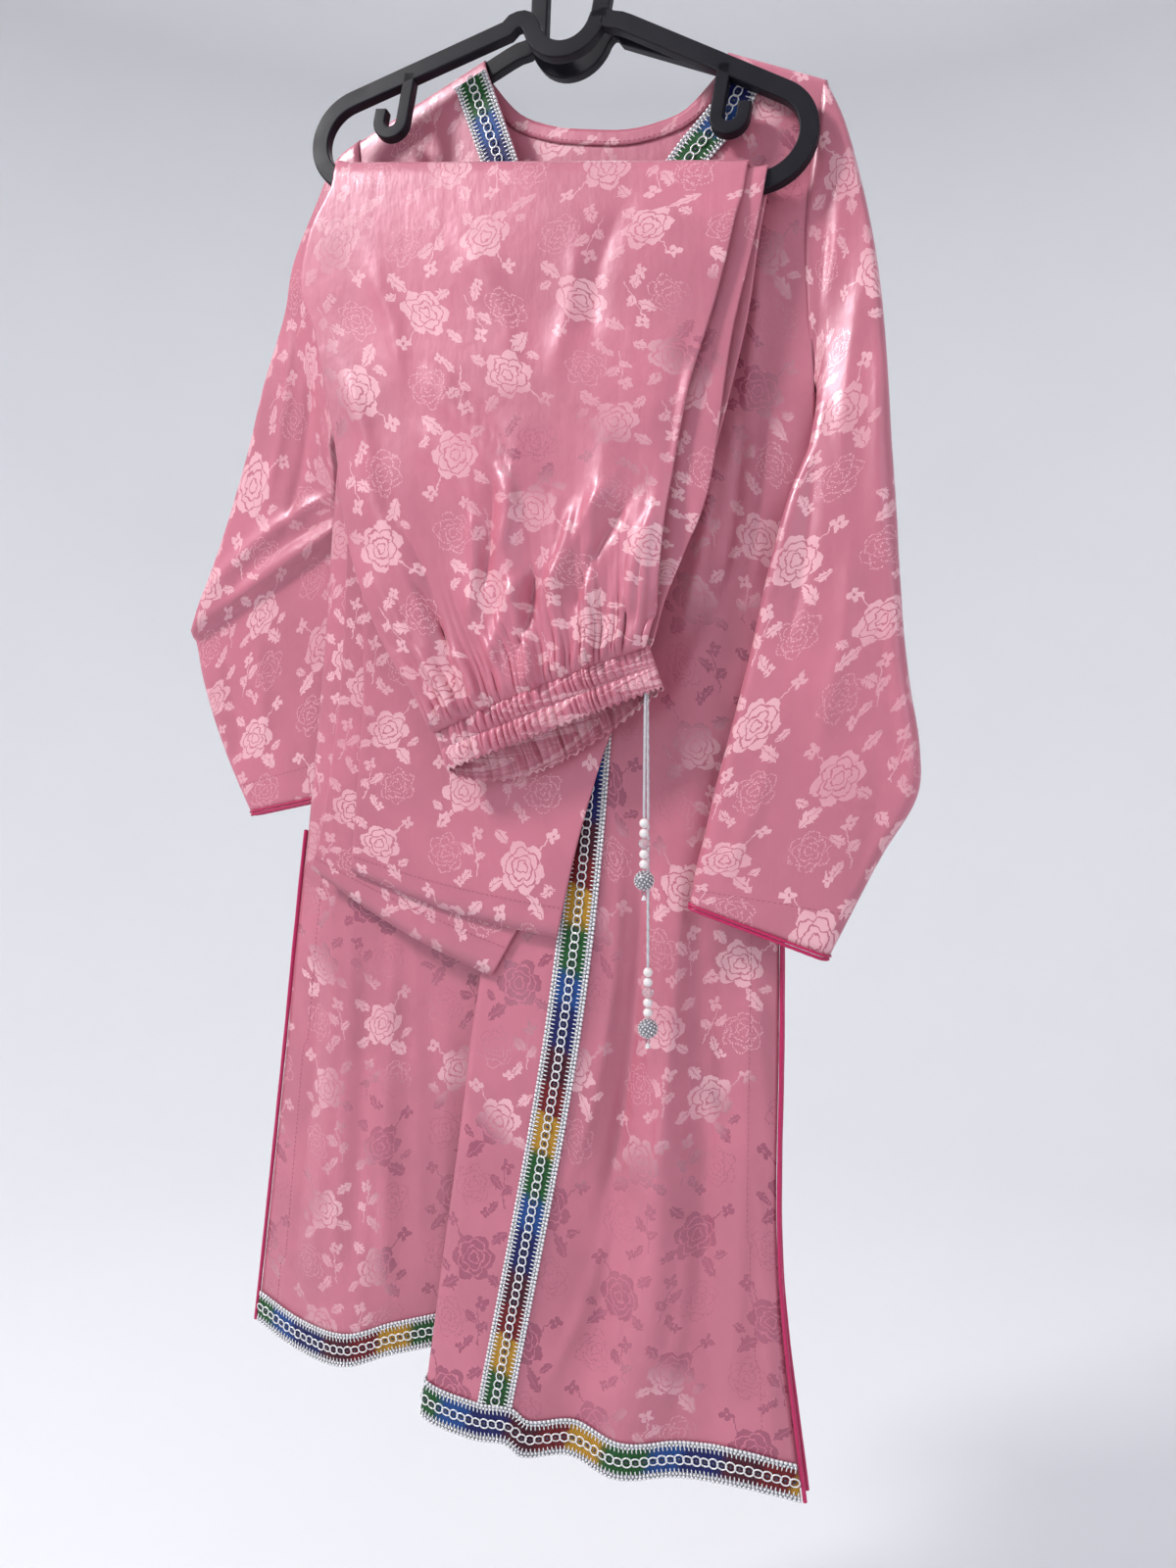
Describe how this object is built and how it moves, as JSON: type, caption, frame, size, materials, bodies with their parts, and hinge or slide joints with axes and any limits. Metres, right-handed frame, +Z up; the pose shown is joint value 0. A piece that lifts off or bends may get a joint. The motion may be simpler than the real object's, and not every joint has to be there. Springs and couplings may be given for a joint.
{
  "type": "shalwar kameez on plastic hangers",
  "caption": "Long-sleeved jacquard satin tunic with braid trims hung on a slim hanger, its elasticated trousers with tassel ties folded over the bar of a second hanger in front",
  "frame": {"origin": "The point on the rod that both hooks hang from, just under the tops of the hooks, at mount hang_point", "axes": "+Z is up, the front of the garment faces -Y, and +X is the viewer's right"},
  "size_m": [0.5942, 0.0945, 1.1124],
  "materials": {
    "pink_satin": "dusty pink jacquard satin",
    "braid": "silver-edged braid over gold, green, blue and maroon",
    "magenta_piping": "magenta satin piping",
    "silver_cord": "silver twisted metallic cord",
    "pearl_beads": "pearl, clear faceted and stone-set beads",
    "black_plastic": "matte black moulding"
  },
  "bodies": {
    "root": {"kameez_front": "pink_satin", "kameez_back": "pink_satin", "sleeve_left": "pink_satin", "sleeve_right": "pink_satin", "neck_facing": "pink_satin", "shalwar_outer_leg": "pink_satin", "shalwar_inner_leg": "pink_satin", "shalwar_waistband": "pink_satin", "neck_trim_left": "braid", "neck_trim_right": "braid", "centre_front_trim": "braid", "hem_trim": "braid", "slit_piping_left_front": "magenta_piping", "slit_piping_right_front": "magenta_piping", "slit_piping_left_back": "magenta_piping", "slit_piping_right_back": "magenta_piping", "cuff_piping_left": "magenta_piping", "cuff_piping_right": "magenta_piping", "tassel_cord_short": "silver_cord", "tassel_cord_long": "silver_cord", "tassel_beads_short": "pearl_beads", "tassel_beads_long": "pearl_beads", "hanger_rear": "black_plastic", "hanger_front": "black_plastic"}
  },
  "joints": []
}
